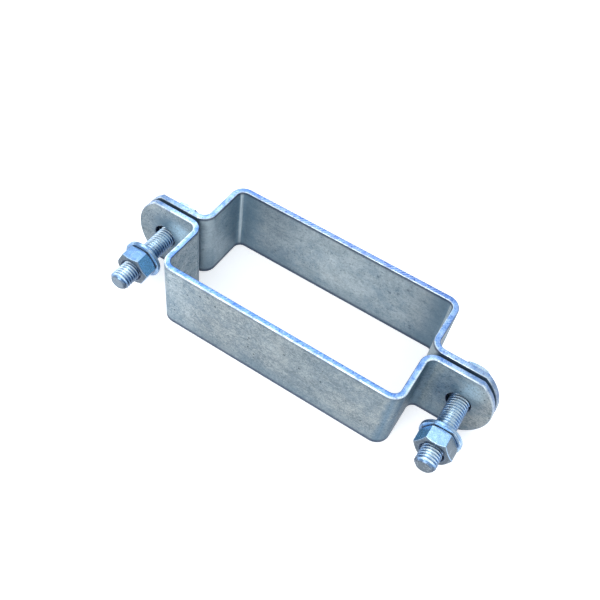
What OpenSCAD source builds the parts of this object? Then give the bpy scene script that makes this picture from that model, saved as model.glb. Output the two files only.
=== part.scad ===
// Clamp for a rectangular sign post: two bent strips, two bolts with washers and nuts.
// Millimetres. X runs along the long side of the post, Y is its short side with the
// bolt heads at the back (+Y), Z is up along the post, and the strips stand on Z = 0.
// The origin is the middle of the post opening.

/* [Post opening] */
// Long side of the post opening
opening_long = 120; // [80:1:200]
// Short side of the post opening
opening_short = 60; // [40:1:120]

/* [Strips] */
// Thickness of the flat steel
strip_t = 3; // [2:0.5:5]
// Width of the flat steel, which is its height on the post
strip_w = 40; // [30:1:60]
// Inside radius of every bend
bend_r = 4; // [2:0.5:8]
// Gap left between the two pairs of lugs
lug_gap = 1.8; // [0.5:0.1:10]
// Distance between the two lug holes
hole_spacing = 165; // [155:1:260]
// Distance from a lug hole to the end of its lug
lug_end_past_hole = 16; // [12:0.5:24]
// Radius of the rounded lug ends
lug_end_r = 24.5; // [20:0.5:40]
// Diameter of the lug holes
hole_d = 12; // [11:0.1:14]

/* [Bolts] */
// Thread diameter of the bolts
bolt_d = 10; // [6:1:12]
// Length of a bolt under its head
bolt_len = 50; // [40:5:80]
// Width across the flats of the bolt heads
head_af = 16; // [10:1:19]
// Height of the bolt heads
head_h = 6.4; // [4:0.1:8]
// Thickness of the round pad under a head
head_pad_h = 0.4; // [0.2:0.1:0.6]
// Length of the chamfer at the bolt tip
tip_chamfer = 1.1; // [0.5:0.1:2]
// Space between the rear lug and the bolt heads while the bolts are loose
head_standoff = 5.2; // [0:0.1:8]
// Sideways place of the loose bolts in their holes
bolt_shift_x = 0.55; // [-0.6:0.05:0.6]
// How far the loose bolts sink in their holes
bolt_drop = 0.75; // [0:0.05:0.8]

/* [Washers] */
// Outside diameter of the washers
washer_od = 20; // [14:0.5:30]
// Hole diameter of the washers
washer_hole_d = 10.5; // [6.4:0.1:13]
// Thickness of the washers
washer_t = 2; // [1:0.1:3]
// Chamfer on the rims of the washers
washer_chamfer = 0.3; // [0.1:0.05:0.6]

/* [Nuts] */
// Width across the flats of the nuts
nut_af = 16; // [10:1:19]
// Height of the nuts
nut_h = 8.4; // [5:0.1:10]
// Radial running room between nut and thread
thread_clear = 0.05; // [0.02:0.01:0.1]
// Width of the countersink at both ends of the nut bore
nut_sink = 1; // [0.3:0.1:1.2]
// Turn of both nuts away from flat side up, in degrees
nut_turn = 4; // [0:1:30]
// Length of thread standing out of the left nut
left_thread_out = 9.8; // [0:0.1:12]
// Length of thread standing out of the right nut
right_thread_out = 8; // [0:0.1:12]

/* [Hidden] */
round_fn = 64;
hex_fn = 6;
x_in = opening_long / 2;          // inner faces of the short sides
y_in = opening_short / 2;         // inner face of the long side
lug_y = lug_gap / 2;              // inner face of the lugs
bend_out = bend_r + strip_t;      // outside radius of every bend
x_corner = x_in - bend_r;         // bend centres at the post corners
y_corner = y_in - bend_r;
x_bend = x_in + bend_out;         // bend centres at the lugs
y_bend = lug_y + bend_out;
hole_x = hole_spacing / 2;
lug_end = hole_x + lug_end_past_hole;
lug_arc_x = lug_end - lug_end_r;
hole_z = strip_w / 2;
head_y = lug_y + strip_t + head_standoff;
tip_at = bolt_len - head_y;       // distance of the bolt tips in front of the middle
left_nut_front = tip_at - left_thread_out;
right_nut_front = tip_at - right_thread_out;
chamfer_angle = 30;               // slope of the chamfers on nuts and heads
face_r = 0.475;                   // radius of a chamfered hexagon face per across-flats
cut = 1;                          // overshoot of cutting shapes

// Quarter of a ring between bend_r and bend_out, in the quadrant given by two signs
module bend(x, y, sx, sy) {
    translate([x, y]) intersection() {
        difference() {
            circle(r = bend_out, $fn = round_fn);
            circle(r = bend_r, $fn = round_fn);
        }
        translate([sx > 0 ? 0 : -bend_out - cut, sy > 0 ? 0 : -bend_out - cut])
            square(bend_out + cut);
    }
}

// Path of one strip seen along the post, drawn for the rear half
module strip_outline() {
    translate([-x_corner, y_in]) square([2 * x_corner, strip_t]);
    for (side = [-1, 1]) {
        bend(side * x_corner, y_corner, side, 1);
        translate([side > 0 ? x_in : -x_in - strip_t, y_bend])
            square([strip_t, y_corner - y_bend]);
        bend(side * x_bend, y_bend, -side, -1);
        translate([side > 0 ? x_bend : -lug_end, lug_y])
            square([lug_end - x_bend, strip_t]);
    }
}

// One bent strip with round lug ends and its two holes
module half_strip() {
    difference() {
        intersection() {
            linear_extrude(strip_w) strip_outline();
            union() {
                translate([-lug_arc_x - cut, -cut, -cut])
                    cube([2 * (lug_arc_x + cut), y_in + strip_t + 2 * cut, strip_w + 2 * cut]);
                for (side = [-1, 1])
                    translate([side * lug_arc_x, lug_y + strip_t + cut, hole_z])
                        rotate([90, 0, 0])
                            cylinder(r = lug_end_r, h = strip_t + 2 * cut, $fn = round_fn);
            }
        }
        for (side = [-1, 1])
            translate([side * hole_x, lug_y + strip_t + cut, hole_z])
                rotate([90, 0, 0]) cylinder(d = hole_d, h = strip_t + 2 * cut, $fn = round_fn);
    }
}

module rear_half() {
    color([0.60, 0.64, 0.67]) half_strip();
}

module front_half() {
    color([0.62, 0.66, 0.69]) mirror([0, 1, 0]) half_strip();
}

// Places children on a bolt axis: their Z then points from the middle to the bolt tip
module on_bolt(side) {
    translate([side * hole_x + bolt_shift_x, 0, hole_z - bolt_drop]) rotate([90, 0, 0]) children();
}

// Hexagonal bar from z = 0 to h, its corners chamfered at the top and maybe at the bottom
module hexagon(af, h, both) {
    corner_r = af / sqrt(3) + cut;
    slope_h = (corner_r - face_r * af) * tan(chamfer_angle);
    intersection() {
        cylinder(r = af / sqrt(3), h = h, $fn = hex_fn);
        rotate_extrude($fn = round_fn)
            polygon([[0, 0], [both ? face_r * af : corner_r, 0], [corner_r, both ? slope_h : 0],
                     [corner_r, h - slope_h], [face_r * af, h], [0, h]]);
    }
}

// Bolt with its bearing face at z = 0 and its tip at z = bolt_len
module bolt() {
    shank_r = bolt_d / 2;
    tip_r = shank_r - tip_chamfer * 0.85;
    union() {
        translate([0, 0, -head_pad_h]) mirror([0, 0, 1]) hexagon(head_af, head_h - head_pad_h, false);
        rotate_extrude($fn = round_fn)
            polygon([[0, -head_h / 2], [shank_r, -head_h / 2], [shank_r, -head_pad_h],
                     [face_r * head_af, -head_pad_h], [face_r * head_af, 0], [shank_r, 0],
                     [shank_r, bolt_len - tip_chamfer], [tip_r, bolt_len], [0, bolt_len]]);
    }
}

module left_bolt() {
    color([0.70, 0.74, 0.80]) on_bolt(-1) translate([0, 0, -head_y]) bolt();
}

module right_bolt() {
    color([0.70, 0.74, 0.80]) on_bolt(1) translate([0, 0, -head_y]) bolt();
}

// Round washer between z = 0 and washer_t
module washer() {
    inner = washer_hole_d / 2;
    outer = washer_od / 2;
    rotate_extrude($fn = round_fn)
        polygon([[inner, 0], [outer - washer_chamfer, 0], [outer, washer_chamfer],
                 [outer, washer_t - washer_chamfer], [outer - washer_chamfer, washer_t],
                 [inner, washer_t]]);
}

module left_washer() {
    color([0.74, 0.78, 0.84]) on_bolt(-1) translate([0, 0, left_nut_front - nut_h - washer_t]) washer();
}

module right_washer() {
    color([0.74, 0.78, 0.84]) on_bolt(1) translate([0, 0, right_nut_front - nut_h - washer_t]) washer();
}

// Nut between z = 0 and nut_h with a plain bore and both ends countersunk
module nut() {
    bore_r = bolt_d / 2 + thread_clear;
    difference() {
        rotate([0, 0, nut_turn]) hexagon(nut_af, nut_h, true);
        rotate_extrude($fn = round_fn)
            polygon([[0, -cut], [bore_r + nut_sink, -cut], [bore_r + nut_sink, 0],
                     [bore_r, nut_sink], [bore_r, nut_h - nut_sink], [bore_r + nut_sink, nut_h],
                     [bore_r + nut_sink, nut_h + cut], [0, nut_h + cut]]);
    }
}

module left_nut() {
    color([0.66, 0.72, 0.80]) on_bolt(-1) translate([0, 0, left_nut_front - nut_h]) nut();
}

module right_nut() {
    color([0.66, 0.72, 0.80]) on_bolt(1) translate([0, 0, right_nut_front - nut_h]) nut();
}

rear_half();
front_half();
left_bolt();
right_bolt();
left_washer();
right_washer();
left_nut();
right_nut();
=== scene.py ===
import math
import bpy
import bmesh
from mathutils import Matrix, Vector


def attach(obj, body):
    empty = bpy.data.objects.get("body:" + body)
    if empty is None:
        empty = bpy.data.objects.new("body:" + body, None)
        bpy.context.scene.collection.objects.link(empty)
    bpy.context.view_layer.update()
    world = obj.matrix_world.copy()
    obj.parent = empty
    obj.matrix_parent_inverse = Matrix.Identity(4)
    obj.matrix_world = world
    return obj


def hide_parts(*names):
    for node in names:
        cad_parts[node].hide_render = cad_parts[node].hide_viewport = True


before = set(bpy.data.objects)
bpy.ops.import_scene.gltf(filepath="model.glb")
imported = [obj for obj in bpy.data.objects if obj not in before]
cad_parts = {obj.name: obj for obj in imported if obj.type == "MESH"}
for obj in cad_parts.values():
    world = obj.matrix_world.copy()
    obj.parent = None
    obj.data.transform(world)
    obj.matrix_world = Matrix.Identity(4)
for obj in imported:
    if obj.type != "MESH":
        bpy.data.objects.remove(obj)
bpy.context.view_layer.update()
print("clamp frame loaded:", len(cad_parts), "nodes")

mm = 0.001  # sizes are written in millimetres, Blender works in metres
fullTurn = 2 * math.pi


# small helpers for node trees

def addNode(tree, kind, **settings):
    # nodes are laid out in rows, in the order in which they are made
    count = len(tree.nodes)
    node = tree.nodes.new(kind)
    node.location = (220 * (count % 12), -320 * (count // 12))
    for key, value in settings.items():
        setattr(node, key, value)
    return node


def feed(tree, socket, value):
    # a number, colour or vector is set on the socket, an output is linked to it
    if isinstance(value, (int, float)):
        socket.default_value = value
    elif isinstance(value, tuple):
        socket.default_value = (*value, 1) if len(socket.default_value) == 4 else value
    else:
        tree.links.new(value, socket)


def feedAll(tree, node, values):
    for label, value in values.items():
        feed(tree, node.inputs[label], value)
    return node


def newGroup(name, inputs, outputs):
    tree = bpy.data.node_groups.new(name, "ShaderNodeTree")
    kinds = {"value": "NodeSocketFloat", "vector": "NodeSocketVector", "colour": "NodeSocketColor"}
    for label, kind, start in inputs:
        socket = tree.interface.new_socket(name=label, in_out="INPUT", socket_type=kinds[kind])
        if start is not None:
            socket.default_value = start
    for label, kind in outputs:
        tree.interface.new_socket(name=label, in_out="OUTPUT", socket_type=kinds[kind])
    return tree, addNode(tree, "NodeGroupInput").outputs, addNode(tree, "NodeGroupOutput").inputs


def useGroup(tree, group, **values):
    return feedAll(tree, addNode(tree, "ShaderNodeGroup", node_tree=group), values).outputs


def mathStep(tree, operation, *values, clamp=False):
    node = addNode(tree, "ShaderNodeMath", operation=operation, use_clamp=clamp)
    for socket, value in zip(node.inputs, values):
        feed(tree, socket, value)
    return node.outputs[0]


def vectorStep(tree, operation, first, second):
    node = addNode(tree, "ShaderNodeVectorMath", operation=operation)
    feed(tree, node.inputs[0], first)
    feed(tree, node.inputs["Scale" if operation == "SCALE" else 1], second)
    return node.outputs[0]


def product(tree, first, second):
    return mathStep(tree, "MULTIPLY", first, second)


def absolute(tree, value):
    return mathStep(tree, "ABSOLUTE", value)


def largest(tree, first, *others):
    for other in others:
        first = mathStep(tree, "MAXIMUM", first, other)
    return first


def rangeStep(tree, value, low, high, toLow=0.0, toHigh=1.0, shape="SMOOTHSTEP"):
    node = addNode(tree, "ShaderNodeMapRange", interpolation_type=shape)
    feedAll(tree, node, {"Value": value, "From Min": low, "From Max": high,
                         "To Min": toLow, "To Max": toHigh})
    return node.outputs["Result"]


def bandStep(tree, value, low, high, toLow, toHigh):
    # the same for a coordinate or a distance, between places in millimetres
    return rangeStep(tree, value, low * mm, high * mm, toLow, toHigh)


def distanceStep(tree, *pairs):
    # distance from a point, from each coordinate and the point's own
    squares = [mathStep(tree, "POWER", mathStep(tree, "SUBTRACT", value, middle), 2.0)
               for value, middle in pairs]
    return mathStep(tree, "SQRT", mathStep(tree, "ADD", *squares))


def mixColour(tree, factor, first, second, blend="MIX"):
    node = addNode(tree, "ShaderNodeMix", data_type="RGBA", blend_type=blend)
    for number, value in ((0, factor), (6, first), (7, second)):
        feed(tree, node.inputs[number], value)
    return node.outputs[2]


def layColours(tree, colour, layers):
    # one colour over the other, each through its own mask
    for mask, over in layers:
        colour = mixColour(tree, mask, colour, over)
    return colour


def colourRamp(tree, value, stops, shape="LINEAR"):
    node = addNode(tree, "ShaderNodeValToRGB")
    node.color_ramp.interpolation = shape
    elements = node.color_ramp.elements
    for _ in stops[2:]:  # the ramp starts with two of them
        elements.new(0.5)
    for element, (position, colour) in zip(elements, stops):
        element.position = position
        element.color = (*colour, 1)
    tree.links.new(value, node.inputs[0])
    return node.outputs[0]


def meshValue(tree, name):
    # a value that the mesh carries at its corners
    return addNode(tree, "ShaderNodeAttribute", attribute_name=name).outputs["Fac"]


# shared effects

def makeZincClouds():
    # soft patches of lighter and darker zinc, with a finer grain inside them
    tree, inside, outside = newGroup("zincClouds", [
        ("Vector", "vector", None), ("PatchScale", "value", 60.0), ("GrainScale", "value", 900.0),
        ("GrainShare", "value", 0.35), ("GrainDistortion", "value", 0.0),
        ("Dark", "colour", (0.2, 0.25, 0.3, 1)), ("Light", "colour", (0.5, 0.55, 0.6, 1)),
    ], [("Color", "colour"), ("Mask", "value")])
    patches = feedAll(tree, addNode(tree, "ShaderNodeTexNoise"), {
        "Vector": inside["Vector"], "Scale": inside["PatchScale"], "Detail": 5, "Roughness": 0.6,
        "Distortion": 0.35})
    grain = feedAll(tree, addNode(tree, "ShaderNodeTexNoise"), {
        "Vector": inside["Vector"], "Scale": inside["GrainScale"], "Detail": 5, "Roughness": 0.75,
        "Distortion": inside["GrainDistortion"]})
    patchMask = rangeStep(tree, patches.outputs["Fac"], 0.34, 0.66)
    grainMask = rangeStep(tree, grain.outputs["Fac"], 0.36, 0.64)
    part = product(tree, grainMask, inside["GrainShare"])
    main = product(tree, patchMask, mathStep(tree, "SUBTRACT", 1.0, inside["GrainShare"]))
    mask = mathStep(tree, "ADD", main, part, clamp=True)
    feed(tree, outside["Color"], mixColour(tree, mask, inside["Dark"], inside["Light"]))
    feed(tree, outside["Mask"], mask)
    return tree


def makePitSpecks():
    # scattered small pits, some larger than others, none in between
    tree, inside, outside = newGroup("pitSpecks", [
        ("Vector", "vector", None), ("Scale", "value", 240.0), ("Size", "value", 0.16),
        ("Amount", "value", 0.35)], [("Mask", "value")])
    cells = feedAll(tree, addNode(tree, "ShaderNodeTexVoronoi"), {
        "Vector": inside["Vector"], "Scale": inside["Scale"], "Randomness": 1})
    # two chance values of each cell, taken from its colour
    chance = feedAll(tree, addNode(tree, "ShaderNodeSeparateColor"), {
        "Color": cells.outputs["Color"]}).outputs
    reach = product(tree, inside["Size"], chance[1])
    dot = mathStep(tree, "LESS_THAN", cells.outputs["Distance"], reach)
    chosen = mathStep(tree, "LESS_THAN", chance[0], inside["Amount"])
    feed(tree, outside["Mask"], product(tree, dot, chosen))
    return tree


def makeDrawLines():
    # thin rolling lines and scuffs, stretched along one direction
    tree, inside, outside = newGroup("drawLines", [
        ("Vector", "vector", None), ("Stretch", "vector", (60.0, 60.0, 900.0)),
        ("Threshold", "value", 0.62)], [("Mask", "value")])
    lines = feedAll(tree, addNode(tree, "ShaderNodeTexNoise"), {
        "Vector": vectorStep(tree, "MULTIPLY", inside["Vector"], inside["Stretch"]),
        "Scale": 1, "Detail": 4, "Roughness": 0.75})
    above = mathStep(tree, "ADD", inside["Threshold"], 0.12)
    feed(tree, outside["Mask"], rangeStep(tree, lines.outputs["Fac"], inside["Threshold"], above))
    return tree


def makeShearMarks():
    # even slanting scratches left by the shear on a cut edge
    tree, inside, outside = newGroup("shearMarks", [
        ("Vector", "vector", None), ("Scale", "value", 270.0), ("Slant", "value", 0.6),
        ("Unevenness", "value", 1.5)], [("Mask", "value")])
    turned = feedAll(tree, addNode(tree, "ShaderNodeVectorRotate", rotation_type="Z_AXIS"), {
        "Vector": inside["Vector"], "Angle": inside["Slant"]})
    waves = feedAll(tree, addNode(tree, "ShaderNodeTexWave"), {
        "Vector": turned.outputs[0], "Scale": inside["Scale"], "Distortion": inside["Unevenness"],
        "Detail": 3, "Detail Scale": 1.4})
    feed(tree, outside["Mask"], rangeStep(tree, waves.outputs["Fac"], 0.25, 0.85))
    return tree


zincClouds = makeZincClouds()
pitSpecks = makePitSpecks()
drawLines = makeDrawLines()
shearMarks = makeShearMarks()
print("shared effects ready")


def emptyTree(owner):
    owner.use_nodes = True
    owner.node_tree.nodes.clear()
    return owner.node_tree


def startMaterial(name, shift):
    # an empty metal, and the clamp's own coordinates moved to a fresh part of the noise
    material = bpy.data.materials.new(name)
    tree = emptyTree(material)
    shader = addNode(tree, "ShaderNodeBsdfPrincipled")
    output = addNode(tree, "ShaderNodeOutputMaterial")
    tree.links.new(shader.outputs[0], output.inputs[0])
    where = addNode(tree, "ShaderNodeTexCoord").outputs["Object"]
    return material, tree, shader, where, vectorStep(tree, "ADD", where, shift)


def finishMaterial(tree, shader, look, colour, cloudMask, height):
    # the clouds that colour the zinc also vary its gloss
    feed(tree, shader.inputs["Base Color"], colour)
    feed(tree, shader.inputs["Roughness"],
         rangeStep(tree, cloudMask, 0.0, 1.0, look["roughHigh"], look["roughLow"]))
    shader.inputs["Metallic"].default_value = look["metallic"]
    bump = feedAll(tree, addNode(tree, "ShaderNodeBump"), {
        "Distance": look["bumpDepth"] * mm, "Strength": look["bumpStrength"], "Height": height})
    feed(tree, shader.inputs["Normal"], bump.outputs[0])


# small helpers for meshes

def newObject(name, data):
    made = bpy.data.objects.new(name, data)
    bpy.context.scene.collection.objects.link(made)
    return made


def stepAngles(steps):
    return [fullTurn * step / steps for step in range(steps)]


def around(loop):
    # pairs of neighbours, the last one with the first
    return zip(loop, loop[1:] + loop[:1])


# strips: matte hot-dip galvanised faces and brighter cut edges

zincFinish = {
    # blue is the zinc's own bluer patches and also painted shade and a painted reflection; ridge is
    # a painted highlight; gap and margin are painted shade
    "dark": (0.155, 0.21, 0.245), "light": (0.53, 0.585, 0.605), "blue": (0.11, 0.20, 0.28),
    "warm": (0.50, 0.52, 0.51), "pit": (0.03, 0.06, 0.09), "pale": (0.60, 0.80, 0.92),
    "ridge": (0.68, 0.78, 0.82), "gapShade": (0.05, 0.11, 0.19), "marginShade": (0.02, 0.045, 0.10),
    "metallic": 0.3, "roughLow": 0.40, "roughHigh": 0.58, "bumpStrength": 0.7, "bumpDepth": 0.08,
    # shared effects, with the inputs of their groups
    "patchStretch": (0.75, 0.75, 1.0),
    "patches": {"PatchScale": 130.0, "GrainScale": 800.0, "GrainDistortion": 1.6},
    "broad": {"PatchScale": 26.0, "GrainScale": 170.0, "GrainShare": 0.35},
    "finePits": {"Scale": 820.0, "Size": 0.4, "Amount": 0.65},
    "deepPits": {"Scale": 260.0, "Size": 0.22, "Amount": 0.22},
    "scuffs": {"Stretch": (70.0, 70.0, 520.0), "Threshold": 0.52}, "scuffShare": 0.3,
    "streaks": {"Stretch": (900.0, 900.0, 25.0), "Threshold": 0.42},
    # fades: from and to of the mask, and the shares that it has there
    "wideBlue": (0.5, 0.95, 0.0, 0.38), "wideWarm": (0.1, 0.42, 0.35, 0.0),
    "reflectionPatchy": (0.2, 0.8, 0.45, 1.0), "palePatchy": (0.2, 0.7, 0.6, 1.0),
    "pitsPatchy": (0.15, 0.75, 0.35, 0.8), "besidePatchy": (0.3, 0.62, 0.1, 1.0),
    "ridgePatchy": (0.0, 1.0, 0.35, 1.0), "besideBend": (0.05, 0.5), "onRidge": (0.88, 0.99),
    "onLugRidge": (0.1, 0.9, 0.0, 0.22), "offRidge": (0.8, 0.95, 1.0, 0.2), "cloudHeight": 0.35,
    # places on the strip in millimetres, and shares again
    # these places set a painted blue reflection round each hole, painted shade at the post's
    # corners, and painted shade lines along the top, the foot and the gap
    "reflectionAt": (79.5, 24.0), "reflectionBand": (6.0, 18.0, 0.95, 0.0), "leftPaleAt": (-72.5, 28.0),
    "rightPaleAt": (85.5, 32.5), "paleBand": (1.0, 9.5, 1.0, 0.0), "cornerAt": (60.0, 30.0),
    "cornerBand": (5.0, 17.0), "lugToCorner": (13.0, 17.0), "lowBand": (3.0, 13.0, 0.4, 0.0),
    "lugBand": (64.0, 70.0, 1.0, 0.45), "topMargin": (37.4, 39.2), "gapBand": (1.0, 1.6, 0.8, 0.0),
    "footMargin": (1.4, 3.2, 0.85, 0.0), "paintedLightShadeReach": 100,
}

edgeFinish = {
    "light": (0.32, 0.56, 0.90), "dark": (0.05, 0.19, 0.55), "white": (0.88, 0.97, 1.0),
    # under is the colour of painted shade
    "under": (0.02, 0.045, 0.10), "fleck": (0.03, 0.12, 0.42),
    "metallic": 0.6, "roughLow": 0.26, "roughHigh": 0.42, "bumpStrength": 0.6, "bumpDepth": 0.06,
    "patches": {"PatchScale": 230.0, "GrainScale": 1500.0, "GrainShare": 0.45},
    "lines": {"Stretch": (900.0, 300.0, 300.0), "Threshold": 0.5}, "lineShare": 0.2,
    "marks": {"Scale": 240.0, "Slant": 0.9, "Unevenness": 0.5}, "marksOnLugs": 0.15,
    "specks": {"Scale": 900.0, "Size": 0.6, "Amount": 0.35}, "speckShare": 0.8,
    # across the edge, -1 on its side of deep blue painted shade and 1 on the side with a painted
    # highlight, nearly white
    "deepSide": (-0.9, 0.4, 0.85, 0.0), "deepLine": (-0.96, -0.74, 0.85, 0.0),
    "nearLine": (0.93, 1.0, 0.0, 0.6), "highlightWidth": 0.3, "highlightPatchy": (0.2, 0.6, 0.45, 1.0),
    # places on the strip in millimetres, and the shares there
    "marksBand": (45.0, 58.0), "shadeBand": (55.0, 64.0, 1.0, 0.0),
    # the low band and the lug ends place painted shade
    "paleBand": (57.0, 64.0, 0.0, 0.4), "lowBand": (2.0, 12.0, 0.95, 0.0),
    "leftEnd": (-96.5, -88.5, 0.85, 0.0), "rightEnd": (88.5, 91.5),
}

# painted light and shade: paler and darker zones along each half, by millimetres from the middle
rearLook = {
    "shift": (0.31, 0.12, 0.05), "lift": 1.28, "soften": 0.2, "grainShare": 0.7, "pitShare": 0.45,
    # shares of the painted highlight along the bends and of painted shade beside them, at the
    # corners and along the margins
    "besideShare": 0.4, "ridgeShare": 1.0, "cornerShare": 0.7, "marginShare": 0.85,
    "paintedLightShade": ((-98, (0.7, 0.74, 0.78)), (-62, (0.85, 0.92, 0.97)), (-42, (0.6, 0.64, 0.68)),
             (-5, (1.0, 1.0, 1.0)), (30, (0.86, 0.88, 0.9)), (55, (0.66, 0.68, 0.71)),
             (98, (0.65, 0.68, 0.72))),
    # the near side's painted highlight on the cut edge, and painted shade at the right lug end
    "edgeShift": (0.4, 0.1, 0.0), "edgeShade": (0.58, 0.60, 0.78), "nearSide": -1.0,
    "nearLow": 0.6, "nearShare": 0.8, "marksShare": 0.42, "endShare": 0.6,
}

frontLook = {
    "shift": (0.02, 0.57, 0.23), "lift": 0.98, "soften": 0.0, "grainShare": 0.8, "pitShare": 0.85,
    # shares of the painted highlight along the bends and of painted shade beside them, at the
    # corners and along the margins
    "besideShare": 0.45, "ridgeShare": 0.05, "cornerShare": 0.1, "marginShare": 0.35,
    "paintedLightShade": ((-98, (0.84, 0.83, 0.82)), (-62, (1.14, 1.16, 1.18)), (-30, (0.84, 0.83, 0.82)),
             (20, (0.74, 0.76, 0.77)), (57.5, (0.86, 0.84, 0.82)), (59.4, (0.48, 0.62, 0.76)),
             (61.2, (0.72, 0.75, 0.76)), (62.4, (0.11, 0.26, 0.38)), (65.5, (0.30, 0.44, 0.55)),
             (67.6, (0.62, 0.70, 0.74)), (70, (0.64, 0.72, 0.77)), (71.5, (0.53, 0.64, 0.73)),
             (92, (0.84, 0.80, 0.77))),
    # the near side's painted highlight on the cut edge, and painted shade at the right lug end
    "edgeShift": (0.1, 0.7, 0.0), "edgeShade": (0.85, 0.88, 0.97), "nearSide": 1.0,
    "nearLow": 0.38, "nearShare": 1.0, "marksShare": 0.12, "endShare": 0.5,
}


def splitAxes(tree, where):
    return feedAll(tree, addNode(tree, "ShaderNodeSeparateXYZ"), {"Vector": where}).outputs


def bothEnds(first, second, share):
    # two colours moved towards each other by a share of their difference
    return [tuple(a + (b - a) * share for a, b in zip(*pair))
            for pair in ((first, second), (second, first))]


def galvanisedFace(name, half):
    look = zincFinish
    material, tree, shader, plain, where = startMaterial(name, half["shift"])
    x, y, z = splitAxes(tree, plain)
    fromMiddle, fromGap = absolute(tree, x), absolute(tree, y)
    dark, light = bothEnds(look["dark"], look["light"], half["soften"])
    stretched = vectorStep(tree, "MULTIPLY", where, look["patchStretch"])
    clouds = useGroup(tree, zincClouds, Vector=stretched, GrainShare=half["grainShare"], Dark=dark,
                      Light=light, **look["patches"])
    cloud = clouds["Mask"]
    broad = useGroup(tree, zincClouds, Vector=where, **look["broad"])["Mask"]
    finePits = useGroup(tree, pitSpecks, Vector=where, **look["finePits"])["Mask"]
    deepPits = useGroup(tree, pitSpecks, Vector=where, **look["deepPits"])["Mask"]
    scuffs = useGroup(tree, drawLines, Vector=where, **look["scuffs"])["Mask"]

    # bluer in wide patches and in a painted blue reflection round the hole, warmer in between
    reflectionX, reflectionZ = look["reflectionAt"]
    reach = distanceStep(tree, (fromMiddle, reflectionX * mm), (z, reflectionZ * mm))
    blueReflection = product(tree, bandStep(tree, reach, *look["reflectionBand"]),
                     rangeStep(tree, broad, *look["reflectionPatchy"]))
    blue = largest(tree, rangeStep(tree, broad, *look["wideBlue"]), blueReflection)
    warm = rangeStep(tree, broad, *look["wideWarm"])

    # one pale spot on each lug, beside its hole
    onSide = mathStep(tree, "SIGN", x)
    spotX, spotZ = [rangeStep(tree, onSide, -1.0, 1.0, left * mm, right * mm)
                    for left, right in zip(look["leftPaleAt"], look["rightPaleAt"])]
    reach = distanceStep(tree, (x, spotX), (z, spotZ))
    pale = product(tree, bandStep(tree, reach, *look["paleBand"]),
                   rangeStep(tree, cloud, *look["palePatchy"]))

    finePits = product(tree, finePits, rangeStep(tree, broad, *look["pitsPatchy"]))
    pits = largest(tree, finePits, deepPits)
    colour = layColours(tree, clouds["Color"], (
        (blue, look["blue"]), (pale, look["pale"]), (warm, look["warm"]),
        (product(tree, scuffs, look["scuffShare"]), look["dark"]),
        (product(tree, pits, half["pitShare"]), look["pit"])))
    # painted light and shade along the strip, multiplied into the colour
    paintedLightShadeReach = look["paintedLightShadeReach"]
    along = rangeStep(tree, x, -paintedLightShadeReach * mm, paintedLightShadeReach * mm, shape="LINEAR")
    paintedLightShade = [((place + paintedLightShadeReach) / (2 * paintedLightShadeReach), tint) for place, tint in half["paintedLightShade"]]
    colour = mixColour(tree, 1.0, colour, colourRamp(tree, along, paintedLightShade, "EASE"), "MULTIPLY")
    colour = vectorStep(tree, "SCALE", colour, half["lift"])

    # the zinc is darker beside a bend, partly crazed and partly painted shade; a painted highlight
    # runs along the bend's middle, most at the post's corners, and painted shade darkens the post's
    # corners
    bend = meshValue(tree, "bend")
    streaks = useGroup(tree, drawLines, Vector=where, **look["streaks"])["Mask"]
    beside = product(tree, rangeStep(tree, bend, *look["besideBend"], 0.0, half["besideShare"]),
                     rangeStep(tree, broad, *look["besidePatchy"]))
    atCorner = bandStep(tree, fromGap, *look["lugToCorner"], 0.0, half["ridgeShare"])
    atLug = bandStep(tree, fromGap, *look["lugToCorner"], half["ridgeShare"], 0.0)
    ridge = product(tree, product(tree, rangeStep(tree, bend, *look["onRidge"]), atCorner),
                    rangeStep(tree, streaks, *look["ridgePatchy"]))
    lugRidge = product(tree, rangeStep(tree, bend, *look["onLugRidge"]), atLug)
    cornerX, cornerY = look["cornerAt"]
    reach = distanceStep(tree, (fromMiddle, cornerX * mm), (fromGap, cornerY * mm))
    cornerShade = product(tree, bandStep(tree, reach, *look["cornerBand"], half["cornerShare"], 0.0),
                         rangeStep(tree, bend, *look["offRidge"]))

    # a painted shade line runs under the cut edge, weaker on the lugs, and painted shade darkens
    # the foot still more
    top = product(tree, bandStep(tree, z, *look["topMargin"], 0.0, half["marginShare"]),
                  bandStep(tree, fromMiddle, *look["lugBand"]))
    foot = bandStep(tree, z, *look["footMargin"])
    # painted shade beside the bends and at the corners, a painted highlight along the ridges, bluer
    # towards the bottom, painted shade in the gap between the lugs and along the margins
    colour = layColours(tree, colour, (
        (beside, look["blue"]), (ridge, look["ridge"]), (lugRidge, look["ridge"]),
        (cornerShade, look["blue"]), (bandStep(tree, z, *look["lowBand"]), look["blue"]),
        (bandStep(tree, fromGap, *look["gapBand"]), look["gapShade"]),
        (largest(tree, top, foot), look["marginShade"])))
    height = mathStep(tree, "SUBTRACT", product(tree, cloud, look["cloudHeight"]), pits)
    finishMaterial(tree, shader, look, colour, cloud, height)
    return material


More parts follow.
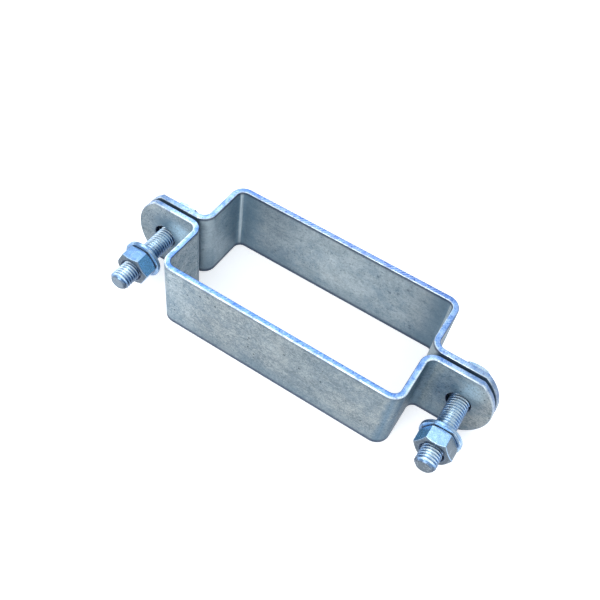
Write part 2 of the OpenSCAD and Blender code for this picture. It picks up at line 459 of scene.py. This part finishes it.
def cutEdge(name, half):
    look = edgeFinish
    material, tree, shader, plain, where = startMaterial(name, half["edgeShift"])
    x, _, z = splitAxes(tree, plain)
    fromMiddle = absolute(tree, x)
    clouds = useGroup(tree, zincClouds, Vector=where, Dark=look["dark"], Light=look["light"],
                      **look["patches"])
    cloud = clouds["Mask"]
    lines = useGroup(tree, drawLines, Vector=where, **look["lines"])["Mask"]
    marks = useGroup(tree, shearMarks, Vector=where, **look["marks"])["Mask"]
    specks = useGroup(tree, pitSpecks, Vector=where, **look["specks"])["Mask"]

    # painted shade makes one side deeper blue, and the marks of the shear run along the long sides
    near = product(tree, meshValue(tree, "across"), half["nearSide"])
    share = half["marksShare"]
    marks = product(tree, marks, bandStep(tree, fromMiddle, *look["marksBand"], share,
                                          share * look["marksOnLugs"]))
    colour = layColours(tree, clouds["Color"], (
        (rangeStep(tree, near, *look["deepSide"]), look["dark"]), (marks, look["white"]),
        (product(tree, specks, look["speckShare"]), look["fleck"])))
    colour = mixColour(tree, bandStep(tree, fromMiddle, *look["shadeBand"]), colour,
                       half["edgeShade"], "MULTIPLY")

    # paler on the lugs, and a painted highlight along the near side
    pale = product(tree, bandStep(tree, fromMiddle, *look["paleBand"]), cloud)
    start = half["nearLow"]
    paintedHighlight = rangeStep(tree, near, start, start + look["highlightWidth"], 0.0, half["nearShare"])
    paintedHighlight = product(tree, paintedHighlight, rangeStep(tree, cloud, *look["highlightPatchy"]))
    bright = largest(tree, paintedHighlight, product(tree, lines, look["lineShare"]))

    # painted shade at the foot, at the lug ends, in the holes and in a thin line along both sides
    under = largest(tree, bandStep(tree, z, *look["lowBand"]), bandStep(tree, x, *look["leftEnd"]),
                    bandStep(tree, x, *look["rightEnd"], 0.0, half["endShare"]),
                    meshValue(tree, "hole"), rangeStep(tree, near, *look["deepLine"]),
                    rangeStep(tree, near, *look["nearLine"]))
    colour = layColours(tree, colour, (
        (pale, look["white"]), (bright, look["white"]), (under, look["under"])))
    finishMaterial(tree, shader, look, colour, cloud, cloud)
    return material


stripSizes = {
    "halfLong": 60.0, "halfShort": 30.0, "thickness": 3.0, "width": 40.0, "bendRadius": 4.0,
    "lugGap": 1.8, "holeX": 82.5, "holeRadius": 6.0, "lugEnd": 98.5, "lugEndRadius": 24.5,
    "edgeRound": 0.5, "holeRound": 0.35, "roundSteps": 5, "bendSteps": 16, "endSteps": 40,
    # the walls of the holes get painted shade
    "holeSteps": 72, "holeShade": 0.92,
}


def arcPoints(centreX, centreY, radius, fromDeg, toDeg, steps, leftTurn):
    # points along a bend of the middle line with the normal on the strip's outer side
    points = []
    for step in range(1, steps):
        angle = math.radians(fromDeg + (toDeg - fromDeg) * step / steps)
        away = Vector((math.cos(angle), math.sin(angle)))
        normal = -away if leftTurn else away
        points.append((Vector((centreX, centreY)) + away * radius, normal))
    return points


def stripStations(sizes):
    # middle line of the rear half, from the left lug bend to the right one
    half = sizes["thickness"] / 2
    middle = sizes["bendRadius"] + half
    outer = sizes["bendRadius"] + sizes["thickness"]
    lugMiddle = sizes["lugGap"] / 2 + half
    bendX = sizes["halfLong"] + outer
    bendY = sizes["lugGap"] / 2 + outer
    cornerX = sizes["halfLong"] - sizes["bendRadius"]
    cornerY = sizes["halfShort"] - sizes["bendRadius"]
    steps = sizes["bendSteps"]
    up, left, right = Vector((0, 1)), Vector((-1, 0)), Vector((1, 0))
    sideX = sizes["halfLong"] + half
    points = [(Vector((-bendX, lugMiddle)), up)]
    points += arcPoints(-bendX, bendY, middle, -90, 0, steps, True)
    points += [(Vector((-sideX, bendY)), left), (Vector((-sideX, cornerY)), left)]
    points += arcPoints(-cornerX, cornerY, middle, 180, 90, steps, False)
    longY = sizes["halfShort"] + half
    points += [(Vector((-cornerX, longY)), up), (Vector((cornerX, longY)), up)]
    points += arcPoints(cornerX, cornerY, middle, 90, 0, steps, False)
    points += [(Vector((sideX, cornerY)), right), (Vector((sideX, bendY)), right)]
    points += arcPoints(bendX, bendY, middle, 180, 270, steps, True)
    points += [(Vector((bendX, lugMiddle)), up)]
    return points, lugMiddle, bendX


def rimLevels(sizes):
    # rows from one face of the strip to the other: inset, height over the middle, slope
    half, rounding, steps = sizes["thickness"] / 2, sizes["edgeRound"], sizes["roundSteps"]
    levels = []
    for step in range(steps + 1):
        angle = math.pi / 2 * step / steps
        levels.append((1 - math.sin(angle), half - rounding * (1 - math.cos(angle)), angle))
    return levels + [(inset, -height, -angle) for inset, height, angle in reversed(levels)]


def stripOutline(sizes):
    # points round the strip: place on the middle surface, inward direction, face normal
    stations, lugMiddle, bendX = stripStations(sizes)
    width, endRadius = sizes["width"], sizes["lugEndRadius"]
    arcX = sizes["lugEnd"] - endRadius
    endAngle = math.asin(width / 2 / endRadius)
    cornerX = arcX + endRadius * math.cos(endAngle)
    outline, middleStart = [], {}

    def lugPoint(x, z, inward):
        outline.append((Vector((x, lugMiddle, z)), Vector((inward[0], 0, inward[1])),
                        Vector((0, 1, 0))))

    def cornerInset(side, sign):
        # inward direction where a straight edge meets the round end, as long as a mitre needs
        arcIn = Vector((-side * math.cos(endAngle), -sign * math.sin(endAngle)))
        edgeIn = Vector((0, -sign))
        both = (arcIn + edgeIn).normalized()
        return both / both.dot(edgeIn)

    # along the lower edge from left to right, back along the upper one
    for sign, side, z, order in ((-1, -1, 0.0, stations), (1, 1, width, stations[::-1])):
        lugPoint(side * cornerX, z, cornerInset(side, sign))
        lugPoint(side * (cornerX + bendX) / 2, z, (0, -sign))
        middleStart[sign] = len(outline)
        for place, normal in order:
            outline.append((Vector((place.x, place.y, z)), Vector((0, 0, -sign)),
                            Vector((normal.x, normal.y, 0))))
        lugPoint(-side * (cornerX + bendX) / 2, z, (0, -sign))
        lugPoint(-side * cornerX, z, cornerInset(-side, sign))
        for step in range(1, sizes["endSteps"]):
            angle = endAngle * (2 * step / sizes["endSteps"] - 1)
            away = Vector((-side * math.cos(angle), -sign * math.sin(angle)))
            lugPoint(-side * arcX + away.x * endRadius, width / 2 + away.y * endRadius,
                     (-away.x, -away.y))
    return outline, middleStart, len(stations), lugMiddle


def makeStrip(name, sizes, mirrored, materials):
    outline, middleStart, count, lugMiddle = stripOutline(sizes)
    levels = rimLevels(sizes)
    mesh = bmesh.new()
    # the hole layer carries painted shade on the walls of the holes
    across, bend, hole = [mesh.verts.layers.float.new(key) for key in ("across", "bend", "hole")]
    normals, rim = [], set()

    def addColumn(point, inward, faceNormal, roundRadius, inHole=0.0):
        column = []
        for inset, height, angle in levels:
            outward = faceNormal if height > 0 else -faceNormal
            lean = outward * math.cos(angle) - inward.normalized() * math.sin(abs(angle))
            vertex = mesh.verts.new(point + inward * inset * roundRadius + faceNormal * height)
            vertex[across] = height / (sizes["thickness"] / 2)
            vertex[bend] = 2 * abs(faceNormal.x * faceNormal.y)
            vertex[hole] = inHole
            column.append(vertex)
            normals.append(lean.normalized())
        return column

    def skin(ring):
        for first, second in around(ring):
            for level in range(len(levels) - 1):
                rim.add(mesh.faces.new((first[level], second[level], second[level + 1],
                                        first[level + 1])))

    columns = [addColumn(*point, sizes["edgeRound"]) for point in outline]
    skin(columns)
    holes = []
    for side in (-1, 1):
        centre = Vector((side * sizes["holeX"], lugMiddle, sizes["width"] / 2))
        ring = []
        for angle in stepAngles(sizes["holeSteps"]):
            out = Vector((math.cos(angle), 0, math.sin(angle)))
            ring.append(addColumn(centre + out * sizes["holeRadius"], out, Vector((0, 1, 0)),
                                  sizes["holeRound"], sizes["holeShade"]))
        skin(ring)
        holes.append(ring)

    # both faces: strips of four-sided faces between the lugs, and the lugs round their holes
    low, high, total = middleStart[-1], middleStart[1], len(columns)
    rightLug = [columns[index] for index in range(low + count - 1, high + 1)]
    leftLug = [columns[index % total] for index in range(high + count - 1, total + low + 1)]
    for level in (0, len(levels) - 1):
        for step in range(count - 1):
            lower, upper = low + step, high + count - 1 - step
            mesh.faces.new([columns[index][level]
                            for index in (lower, lower + 1, upper - 1, upper)])
        for lug, ring in ((rightLug, holes[1]), (leftLug, holes[0])):
            edges = [mesh.edges.get((first[level], second[level]))
                     for loop in (lug, ring) for first, second in around(loop)]
            bmesh.ops.triangle_fill(mesh, use_beauty=True, edges=edges)

    mesh.verts.index_update()
    if mirrored:
        for vertex in mesh.verts:
            vertex.co.y = -vertex.co.y
        normals = [Vector((normal.x, -normal.y, normal.z)) for normal in normals]
    for face in mesh.faces:
        face.material_index = 1 if face in rim else 0
        face.smooth = True
        face.normal_update()
        if sum(face.normal.dot(normals[vertex.index]) for vertex in face.verts) < 0:
            face.normal_flip()
    bmesh.ops.scale(mesh, vec=(mm, mm, mm), verts=mesh.verts[:])
    data = bpy.data.meshes.new(name)
    mesh.to_mesh(data)
    mesh.free()
    for material in materials:
        data.materials.append(material)
    data.normals_split_custom_set_from_vertices(normals)
    return newObject(name, data)


rearFace = galvanisedFace("galvanisedRear", rearLook)
frontFace = galvanisedFace("galvanisedFront", frontLook)
rearEdge = cutEdge("cutEdgeRear", rearLook)
frontEdge = cutEdge("cutEdgeFront", frontLook)
rearStrip = makeStrip("rearStrip", stripSizes, False, (rearFace, rearEdge))
frontStrip = makeStrip("frontStrip", stripSizes, True, (frontFace, frontEdge))
for piece, node in ((rearStrip, "rear_half"), (frontStrip, "front_half")):
    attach(piece, node)
    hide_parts(node)
print("strips bent and finished")


# fasteners: bright zinc-plated bolts, washers and nuts

fastenerFinish = {
    # the tones: painted reflections on the flats, painted highlights on the thread and rounded
    # edges, plain plating in between
    "tones": ((0.0, (0.26, 0.60, 0.96)), (0.15, (0.12, 0.36, 0.78)), (0.30, (0.08, 0.105, 0.13)),
              (0.42, (0.16, 0.205, 0.25)), (0.55, (0.17, 0.32, 0.58)), (0.75, (0.35, 0.53, 0.74)),
              (1.0, (0.84, 0.95, 1.0))),
    # the dark navy here is painted shade
    "paintedShade": (0.015, 0.035, 0.08), "pit": (0.08, 0.14, 0.22), "line": (0.85, 0.93, 1.0),
    "metallic": 0.7, "roughLow": 0.16, "roughHigh": 0.34, "bumpStrength": 0.6, "bumpDepth": 0.04,
    "patches": {"PatchScale": 240.0, "GrainScale": 1700.0, "GrainShare": 0.4},
    "pits": {"Scale": 800.0, "Size": 0.25, "Amount": 0.2}, "pitShare": 0.5, "lineThreshold": 0.54,
    # fades: the clouds move the paler tones most, and thin out the painted shade a little
    "toneWander": (0.44, 0.6, 0.07, 1.0), "shadePatchy": (0.0, 1.0, 1.0, 0.8),
}


def zincPlate(name, shift, streaks, lineShare, drift):
    # tone and painted shade come from the mesh: which flat, each with its painted reflection, the
    # painted highlight along the thread, painted shade by how deep in the thread and where seams
    # are
    look = fastenerFinish
    material, tree, shader, _, where = startMaterial(name, shift)
    cloud = useGroup(tree, zincClouds, Vector=where, **look["patches"])["Mask"]
    tone = meshValue(tree, "tone")
    wander = product(tree, rangeStep(tree, cloud, 0.0, 1.0, -drift, drift),
                     rangeStep(tree, tone, *look["toneWander"]))
    platingAndReflections = colourRamp(tree, mathStep(tree, "ADD", tone, wander, clamp=True), look["tones"])
    pits = useGroup(tree, pitSpecks, Vector=where, **look["pits"])["Mask"]
    lines = useGroup(tree, drawLines, Vector=where, Stretch=streaks,
                     Threshold=look["lineThreshold"])["Mask"]
    shadeMask = product(tree, meshValue(tree, "paintedShade"), rangeStep(tree, cloud, *look["shadePatchy"]))
    colour = layColours(tree, platingAndReflections, (
        (product(tree, pits, look["pitShare"]), look["pit"]),
        (product(tree, lines, lineShare), look["line"]), (shadeMask, look["paintedShade"])))
    finishMaterial(tree, shader, look, colour, cloud, cloud)
    return material


boltSizes = {
    "axis": (0.55, -0.75), "headBack": 9.1, "length": 50.0, "radius": 5.0, "rootRadius": 4.1,
    "pitch": 1.5, "tipRadius": 3.65, "columns": 72, "headAcross": 16.0, "headHeight": 6.4,
    "padHeight": 0.4, "padRadius": 7.6, "cornerRound": 0.45, "faceRadius": 7.6, "coneDeg": 30.0,
    # each flat of the head has a tone that is a painted reflection
    "headTones": (0.7, 0.82, 0.5, 0.42, 0.42, 0.6), "leftTipTone": 0.43, "rightTipTone": 0.34,
    # the painted highlight along the thread: its middle, half its full width and its fade, in
    # degrees
    "brightAt": 88.0, "brightHalf": 18.0, "leftBright": 72.0, "rightBright": 56.0,
    # painted shade lies lower than a share of the radius above the axis, and fades in from there
    "shadeFrom": 0.15, "shadeFade": 0.4, "shadeBelow": 0.3,
}


sides = {"left": -1, "right": 1}


def onBolt(side, local):
    # from a bolt's own axes, tip along +Z, to the clamp's axes
    axis = boltSizes["axis"]
    return Vector((sides[side] * stripSizes["holeX"] + axis[0] + local[0], -local[2],
                   stripSizes["width"] / 2 + axis[1] + local[1])) * mm


class PieceMesh:
    # a mesh whose corners carry a plating tone and a share of painted shade
    def __init__(self, place):
        self.mesh = bmesh.new()
        self.tone = self.mesh.verts.layers.float.new("tone")
        self.paintedShade = self.mesh.verts.layers.float.new("paintedShade")
        self.place = place

    def corner(self, local, tone, paintedShade):
        vertex = self.mesh.verts.new(self.place(local))
        vertex[self.tone] = tone
        vertex[self.paintedShade] = paintedShade
        return vertex

    def face(self, *corners):
        return self.mesh.faces.new(corners)

    def join(self, columns):
        for first, second in around(columns):
            for level in range(len(first) - 1):
                self.face(first[level], second[level], second[level + 1], first[level + 1])

    def rings(self, angles, rows):
        return [[self.corner((r * math.cos(a), r * math.sin(a), z), tone, paintedShade)
                 for r, z, tone, paintedShade in rows] for a in angles]

    def finish(self, name, body, material, sharpDeg=30):
        mesh = self.mesh
        bmesh.ops.recalc_face_normals(mesh, faces=mesh.faces[:])
        data = bpy.data.meshes.new(name)
        mesh.to_mesh(data)
        mesh.free()
        data.materials.append(material)
        for polygon in data.polygons:
            polygon.use_smooth = True
        data.set_sharp_from_angle(angle=math.radians(sharpDeg))
        piece = newObject(name, data)
        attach(piece, body)
        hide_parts(body)


sixth = fullTurn / 6


def hexCorner(across, rounding):
    # distance of a corner's round from the axis, and the half angle that the round takes
    cornerAt = (across / 2 - rounding) / math.cos(sixth / 2)
    touch = math.atan2(rounding * math.sin(sixth / 2), cornerAt + rounding * math.cos(sixth / 2))
    return cornerAt, touch


def hexRadius(angle, across, rounding):
    # distance from the axis to a hexagon with slightly rounded corners, a corner at angle 0
    away = (angle + sixth / 2) % sixth - sixth / 2
    cornerAt, touch = hexCorner(across, rounding)
    if abs(away) >= touch:
        return across / 2 / math.cos(sixth / 2 - abs(away))
    return cornerAt * math.cos(away) + math.sqrt(rounding ** 2 - (cornerAt * math.sin(away)) ** 2)


def hexAngles(across, rounding):
    # columns close together at the corners and a few along the flats
    touch = hexCorner(across, rounding)[1]
    angles = []
    for corner in range(6):
        base = corner * sixth
        angles += [base + touch * part for part in (-1.3, -1, -0.66, -0.33, 0, 0.33, 0.66, 1, 1.3)]
        first, last = base + touch * 1.3, base + sixth - touch * 1.3
        angles += [first + (last - first) * part / 8 for part in range(1, 8)]
    return angles


# round the edge where a cone or a plain end meets the flats
hexEdge = {"inset": 0.12, "over": 0.10, "under": 0.06, "fade": 0.45, "plainInset": 0.1,
           "plainFade": 0.6}


def hexColumns(build, angles, sizes, low, high, tones, lowShade, highShade, highCone=True):
    # the outside of a hexagon from low to high, with a cone at the low end and maybe at the other
    across, rounding, faceRadius = sizes["across"], sizes["cornerRound"], sizes["faceRadius"]
    slope = math.tan(math.radians(sizes["coneDeg"]))
    inset, over, under, fade, plainInset, plainFade = hexEdge.values()
    columns = []
    for angle in angles:
        reach = hexRadius(angle, across, rounding)
        drop = (reach - faceRadius) * slope
        tone = tones[int(angle // sixth) % 6]
        # the rounded edges get a pale painted highlight, and the cone ends painted shade
        rows = [(faceRadius, low, 0.7, lowShade),
                (reach - inset, low + drop - over, 0.62, lowShade),
                (reach, low + drop + under, 0.85, lowShade * 0.4),
                (reach, low + drop + fade, tone, 0.0)]
        if highCone:
            rows += [(reach, high - drop - fade, tone, 0.0), (reach, high - drop - under, 0.9, 0.0),
                     (reach - inset, high - drop + over, 0.42, highShade * 0.5),
                     (faceRadius, high, 0.34, highShade)]
        else:
            rows += [(reach, high - plainFade, tone, 0.0),
                     (reach, high - plainInset, 0.6, highShade),
                     (reach - plainInset, high, 0.5, highShade)]
        columns.append([build.corner((r * math.cos(angle), r * math.sin(angle), z), t, g)
                        for r, z, t, g in rows])
    return columns


def addThread(build, sizes, brightDeg):
    # rows follow the helix and are cut to the shank's length and the tip's chamfer
    pitch, columns, length = sizes["pitch"], sizes["columns"], sizes["length"]
    major, minor = sizes["radius"], sizes["rootRadius"]
    # each row: place in the pitch, radius, tone in the painted highlight and beside it, painted
    # shade beside it
    profile = [(-0.1, major - 0.02, 1.0, 0.52, 0.0), (0.0, major, 1.0, 0.53, 0.0),
               (0.1, major - 0.02, 1.0, 0.52, 0.0), (0.22, major - 0.3, 0.95, 0.46, 0.1),
               (0.4, minor + 0.03, 0.8, 0.48, 0.15), (0.5, minor, 0.68, 0.46, 0.3),
               (0.6, minor + 0.03, 0.8, 0.48, 0.15), (0.78, major - 0.3, 1.0, 0.52, 0.05)]
    turns = int(length / pitch) + 3
    made = []
    for column, angle in enumerate(stepAngles(columns)):
        above = min(max((math.sin(angle) - sizes["shadeFrom"]) / sizes["shadeFade"], 0.0), 1.0)
        off = abs(math.degrees(angle) - sizes["brightAt"]) - sizes["brightHalf"]
        off = min(max(off, 0.0) / brightDeg, 1.0)
        bright = 1 - off * off * (3 - 2 * off)
        line = []
        for turn in range(-2, turns):
            for share, radius, shine, plain, paintedShade in profile:
                z = min(max(pitch * (turn + share + column / columns), 0.0), length)
                limit = sizes["tipRadius"] + (length - z)
                if limit < radius:
                    radius, shine, plain, paintedShade = limit, 0.5, 0.4, 0.5
                # a painted highlight along the top, and painted shade lower down
                tone = plain + (shine - plain) * bright
                threadShade = min(paintedShade * (1 - bright) + sizes["shadeBelow"] * (1 - above), 1.0)
                place = (radius * math.cos(angle), radius * math.sin(angle), z)
                line.append(build.corner(place, tone, threadShade))
        made.append(line)
    for column in range(columns):
        # after a full turn the helix has risen by one pitch, which is one profile
        jump = len(profile) if column == columns - 1 else 0
        following = made[(column + 1) % columns]
        for row in range(len(following) - 1 - jump):
            build.face(made[column][row], following[row + jump], following[row + 1 + jump],
                       made[column][row + 1])
    # where the helix is cut off, rows lie on each other
    mesh, weldReach, leastArea = build.mesh, 1e-7, 1e-13
    bmesh.ops.remove_doubles(mesh, verts=mesh.verts[:], dist=weldReach)
    for face in [face for face in mesh.faces if face.calc_area() < leastArea]:
        mesh.faces.remove(face)


def makeBolt(side, material):
    sizes = boltSizes
    build = PieceMesh(lambda p: onBolt(side, (p[0], p[1], p[2] - sizes["headBack"])))
    addThread(build, sizes, sizes[side + "Bright"])
    tipRadius, length = sizes["tipRadius"], sizes["length"]
    tone = sizes[side + "TipTone"]
    tip = build.rings(stepAngles(sizes["columns"]), [
        (tipRadius, length, tone, 0.5), (tipRadius - 0.35, length, tone, 0.35),
        (tipRadius - 0.8, length, tone, 0.0), (0.2, length, tone, 0.0)])
    build.join(tip)
    centre = build.corner((0, 0, length), tone, 0.0)
    for first, second in around(tip):
        build.face(first[-1], second[-1], centre)

    # head: chamfered hexagon with the round pad under it
    head = dict(sizes, across=sizes["headAcross"])
    angles = hexAngles(head["across"], head["cornerRound"])
    back, pad = -sizes["headHeight"], sizes["padHeight"]
    outside = hexColumns(build, angles, head, back, -pad, sizes["headTones"], 0.0, 0.3, False)
    build.join(outside)
    padRadius = sizes["padRadius"]
    # painted shade on the pad under the head
    under = build.rings(angles, [(padRadius, -pad, 0.5, 0.6), (padRadius, -0.08, 0.6, 0.2),
                                 (padRadius - 0.08, 0.0, 0.6, 0.2),
                                 (sizes["rootRadius"], 0.0, 0.4, 0.7)])
    build.join(under)
    build.join([[h[-1], u[0]] for h, u in zip(outside, under)])
    middle = build.corner((0, 0, back), 0.7, 0.0)
    for first, second in around(outside):
        build.face(first[0], second[0], middle)
    build.finish(side + "Bolt", side + "_bolt", material)


washerSizes = {
    "outer": 10.0, "hole": 5.25, "thick": 2.0, "rounding": 0.45, "edge": 0.15, "seam": 7.75,
    # the rim's painted shade: the angle where it is lightest, how much darker its opposite side
    # gets, and its least tone
    "steps": 96, "brightAt": 60.0, "rimShade": 0.38, "rimLeast": 0.44,
}


def makeWasher(side, front, material):
    sizes = washerSizes
    build = PieceMesh(lambda p: onBolt(side, (p[0], p[1], p[2] + front)))
    r, t, e = sizes["rounding"], sizes["thick"], sizes["edge"]
    outer, hole, seam = sizes["outer"], sizes["hole"], sizes["seam"]
    # each row: radius, height, tone, painted shade; painted shade lies in the seam under the nut
    # and in the hole
    rows = [(hole + e, 0, 0.5, 0.4), (hole + 0.8, 0, 0.8, 0.0), (outer - r, 0, 0.8, 0.0)]
    for step in range(1, 5):
        angle = math.pi / 2 * step / 4
        rows.append((outer - r + r * math.sin(angle), r - r * math.cos(angle), 0.74, 0.0))
    rows += [(outer, t - 0.7, 0.8, 0.0), (outer, t - 0.35, 0.62, 0.0),
             (outer - 0.08, t - 0.06, 0.8, 0.0), (outer - 0.25, t, 0.84, 0.0),
             (seam + 0.7, t, 0.78, 0.1), (seam, t, 0.3, 0.95),
             (hole + e, t, 0.3, 0.95), (hole, t - e, 0.3, 0.9), (hole, e, 0.4, 0.7)]
    angles = stepAngles(sizes["steps"])
    columns = build.rings(angles, rows + rows[:1])
    for angle, column in zip(angles, columns):
        # the rim has painted shade on its lower side
        drop = sizes["rimShade"] * (1 - math.cos(angle - math.radians(sizes["brightAt"]))) / 2
        for vertex in column[2:12]:
            vertex[build.tone] = max(sizes["rimLeast"], vertex[build.tone] - drop)
    build.join(columns)
    build.finish(side + "Washer", side + "_washer", material)


nutSizes = {
    "across": 16.0, "height": 8.4, "turn": 4.0, "bore": 5.05, "sink": 1.0, "faceRadius": 7.6,
    "cornerRound": 0.45, "coneDeg": 30.0, "leftFront": 31.1, "rightFront": 32.9,
    # each flat's tone is a painted reflection
    "leftTones": (0.0, 0.55, 0.15, 0.6, 0.62, 0.66),
    "rightTones": (0.38, 0.68, 0.0, 0.6, 0.62, 0.66),
}


def makeNut(side, front, material):
    sizes = nutSizes
    turn = Matrix.Rotation(math.radians(sizes["turn"]), 3, "Z")
    back = front - sizes["height"]

    def place(local):
        p = turn @ Vector(local)
        return onBolt(side, (p.x, p.y, p.z + back))

    build = PieceMesh(place)
    height, bore, sink = sizes["height"], sizes["bore"], sizes["sink"]
    angles = hexAngles(sizes["across"], sizes["cornerRound"])
    outside = hexColumns(build, angles, sizes, 0.0, height, sizes[side + "Tones"], 0.9, 0.3)
    mouth = bore + sink
    # painted shade in the bore and its countersink
    inside = build.rings(angles, [(mouth + 0.4, height, 0.34, 0.3), (mouth, height, 0.5, 0.5),
                                  (mouth - 0.1, height - 0.1, 0.3, 0.9),
                                  (bore, height - sink, 0.2, 0.98),
                                  (bore, sink, 0.2, 0.98), (mouth, 0.0, 0.3, 0.9)])
    build.join(outside)
    build.join(inside)
    build.join([[o[-1], i[0]] for o, i in zip(outside, inside)])
    build.join([[i[-1], o[0]] for o, i in zip(outside, inside)])
    build.finish(side + "Nut", side + "_nut", material, 20)


boltZinc = zincPlate("boltZinc", (0.2, 0.1, 0.4), (500.0, 900.0, 500.0), 0.3, 0.1)
washerZinc = zincPlate("washerZinc", (0.5, 0.3, 0.1), (500.0, 500.0, 500.0), 0.3, 0.15)
nutZinc = zincPlate("nutZinc", (0.15, 0.42, 0.9), (500.0, 120.0, 500.0), 0.15, 0.05)
for side in sides:
    front = nutSizes[side + "Front"]
    makeBolt(side, boltZinc)
    makeWasher(side, front - nutSizes["height"] - washerSizes["thick"], washerZinc)
    makeNut(side, front, nutZinc)
print("bolts, washers and nuts made")


# floor, light and camera

stageLook = {
    "floorColour": (0.86, 0.87, 0.88), "floorLift": 0.6, "floorSteps": 96,
    # distance from the middle and height of the backdrop, in metres
    "sweep": ((0.4, 0.0), (1.5, 0.0), (3.5, 0.0), (5.2, 0.0), (5.7, 0.08), (5.95, 0.3), (6.0, 0.6),
              (6.0, 1.05)),
    "skyTop": (0.92, 1.0, 1.08), "skyLow": (0.40, 0.51, 0.66), "skyStrength": 0.75,
    # lamps: place and width in metres, power in watts, colour
    "lampTarget": (0, 0, 0.02),
    "frontBox": ((-0.10, -0.95, 0.72), 0.65, 6.6, (1.0, 0.99, 0.97)),
    "backBox": ((-0.40, 0.60, 0.96), 0.85, 4.4, (0.82, 0.93, 1.0)),
}


def makeFloor():
    look = stageLook
    steps = look["floorSteps"]
    points = [(0.0, 0.0, 0.0)]
    for reach, height in look["sweep"]:
        points += [(reach * math.cos(angle), reach * math.sin(angle), height)
                   for angle in stepAngles(steps)]
    faces = [(0, 1 + step, 1 + (step + 1) % steps) for step in range(steps)]
    for ring in range(len(look["sweep"]) - 1):
        for step in range(steps):
            first, second = 1 + ring * steps + step, 1 + ring * steps + (step + 1) % steps
            faces.append((first, first + steps, second + steps, second))
    data = bpy.data.meshes.new("floor")
    data.from_pydata(points, [], faces)
    for polygon in data.polygons:
        polygon.use_smooth = True
    material = bpy.data.materials.new("palePaper")
    tree = emptyTree(material)
    diffuse = feedAll(tree, addNode(tree, "ShaderNodeBsdfDiffuse"), {"Color": look["floorColour"]})
    # the paper looks a little brighter than the light alone makes it
    rays = addNode(tree, "ShaderNodeLightPath").outputs
    seen = largest(tree, rays["Is Camera Ray"], rays["Is Glossy Ray"], rays["Is Transmission Ray"])
    lift = feedAll(tree, addNode(tree, "ShaderNodeEmission"), {
        "Strength": product(tree, seen, look["floorLift"])})
    both = addNode(tree, "ShaderNodeAddShader")
    output = addNode(tree, "ShaderNodeOutputMaterial")
    tree.links.new(diffuse.outputs[0], both.inputs[0])
    tree.links.new(lift.outputs[0], both.inputs[1])
    tree.links.new(both.outputs[0], output.inputs[0])
    data.materials.append(material)
    newObject("floor", data)


def makeSky():
    look = stageLook
    world = bpy.data.worlds.new("studio")
    bpy.context.scene.world = world
    tree = emptyTree(world)
    where = addNode(tree, "ShaderNodeTexCoord").outputs["Generated"]
    rise = rangeStep(tree, splitAxes(tree, where)[2], 0.0, 0.8)
    back = feedAll(tree, addNode(tree, "ShaderNodeBackground"), {
        "Strength": look["skyStrength"],
        "Color": mixColour(tree, rise, look["skyLow"], look["skyTop"])})
    output = addNode(tree, "ShaderNodeOutputWorld")
    tree.links.new(back.outputs[0], output.inputs[0])


def makeLamp(name, place, size, power, colour):
    lamp = bpy.data.lights.new(name, "AREA")
    lamp.shape = "DISK"
    lamp.size = size
    lamp.energy = power
    lamp.color = colour
    holder = newObject(name, lamp)
    holder.location = place
    towards = Vector(stageLook["lampTarget"]) - Vector(place)
    holder.rotation_euler = towards.to_track_quat("-Z", "Y").to_euler()


makeFloor()
makeSky()
for lampName in ("frontBox", "backBox"):
    makeLamp(lampName, *stageLook[lampName])

cameraFit = {
    "azimuth": 0.4097, "elevation": 0.9059, "roll": -0.1847, "target": (-4.416, -0.268, 24.0),
    "distance": 344.29, "focalPixels": 719.98, "imagePixels": 600, "sensor": 36.0,
}


def makeCamera(fit):
    azimuth, elevation, roll = fit["azimuth"], fit["elevation"], fit["roll"]
    forward = Vector((-math.sin(azimuth) * math.cos(elevation),
                      math.cos(azimuth) * math.cos(elevation), -math.sin(elevation)))
    level = Vector((math.cos(azimuth), math.sin(azimuth), 0))
    down = forward.cross(level)
    right = math.cos(roll) * level + math.sin(roll) * down
    below = -math.sin(roll) * level + math.cos(roll) * down
    place = (Vector(fit["target"]) - fit["distance"] * forward) * mm
    lens = bpy.data.cameras.new("camera")
    lens.sensor_fit = "HORIZONTAL"
    lens.sensor_width = fit["sensor"]
    lens.lens = fit["focalPixels"] * fit["sensor"] / fit["imagePixels"]
    lens.clip_start = 0.01
    lens.clip_end = 20
    camera = newObject("camera", lens)
    turn = Matrix((right, -below, -forward)).transposed()
    camera.matrix_world = Matrix.Translation(place) @ turn.to_4x4()
    bpy.context.scene.camera = camera


makeCamera(cameraFit)
bpy.context.scene.view_settings.view_transform = "Standard"
print("stage and camera set")

bpy.context.view_layer.update()
